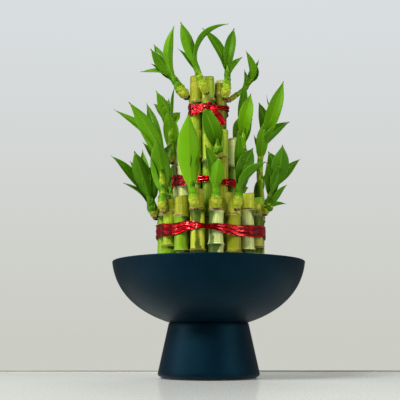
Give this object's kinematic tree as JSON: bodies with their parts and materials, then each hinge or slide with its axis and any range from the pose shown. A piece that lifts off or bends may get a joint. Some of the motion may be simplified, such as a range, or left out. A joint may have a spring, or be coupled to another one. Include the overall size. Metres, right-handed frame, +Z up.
{
  "type": "lucky bamboo",
  "caption": "Three-tier lucky bamboo: upright canes with leafy side shoots, tied in a bundle by red ribbons and standing in pebbles in a dark footed bowl.",
  "frame": {"origin": "centre of the underside of the pad below the foot, on the bowl's axis, where the object rests on the table", "axes": "+Z up along the bowl's axis; -Y towards the side shown in the picture, with the ribbon's knot; +X to the right of that view"},
  "size_m": [0.1495, 0.1486, 0.2757],
  "materials": {
    "bowl_coat": "satin",
    "pad": "matte",
    "pebble": "satin",
    "cane": "satin",
    "leaf": "satin",
    "ribbon": "gloss"
  },
  "bodies": {
    "root": {"bowl": "bowl_coat", "pedestal_foot": "bowl_coat", "base_pad": "pad", "pebble_bed": "pebble", "cane_outer_01": "cane", "cane_outer_02": "cane", "cane_outer_03": "cane", "cane_outer_04": "cane", "cane_outer_05": "cane", "cane_outer_06": "cane", "cane_outer_07": "cane", "cane_outer_08": "cane", "cane_outer_09": "cane", "cane_outer_10": "cane", "cane_outer_11": "cane", "cane_outer_12": "cane", "cane_outer_13": "cane", "cane_outer_14": "cane", "cane_outer_15": "cane", "cane_outer_16": "cane", "cane_outer_17": "cane", "cane_middle_01": "cane", "cane_middle_02": "cane", "cane_middle_03": "cane", "cane_middle_04": "cane", "cane_middle_05": "cane", "cane_middle_06": "cane", "cane_middle_07": "cane", "cane_middle_08": "cane", "cane_middle_09": "cane", "cane_middle_10": "cane", "cane_middle_11": "cane", "cane_middle_12": "cane", "cane_middle_13": "cane", "cane_inner_01": "cane", "cane_inner_02": "cane", "cane_inner_03": "cane", "cane_inner_04": "cane", "cane_inner_05": "cane", "cane_inner_06": "cane", "ribbon_lower": "ribbon", "ribbon_middle": "ribbon", "ribbon_top": "ribbon", "shoot_top_left": "leaf", "shoot_top_front": "leaf", "shoot_top_right": "leaf", "shoot_top_far_right": "leaf", "shoot_top_back": "leaf", "shoot_middle_right": "leaf", "shoot_middle_left": "leaf", "shoot_middle_front": "leaf", "shoot_lower_right_tall": "leaf", "shoot_lower_left_tall": "leaf", "shoot_lower_left": "leaf", "shoot_lower_front_left": "leaf", "shoot_lower_front": "leaf", "shoot_lower_front_right": "leaf", "shoot_lower_right": "leaf", "shoot_lower_back_left": "leaf", "shoot_lower_back_right": "leaf"}
  },
  "joints": []
}
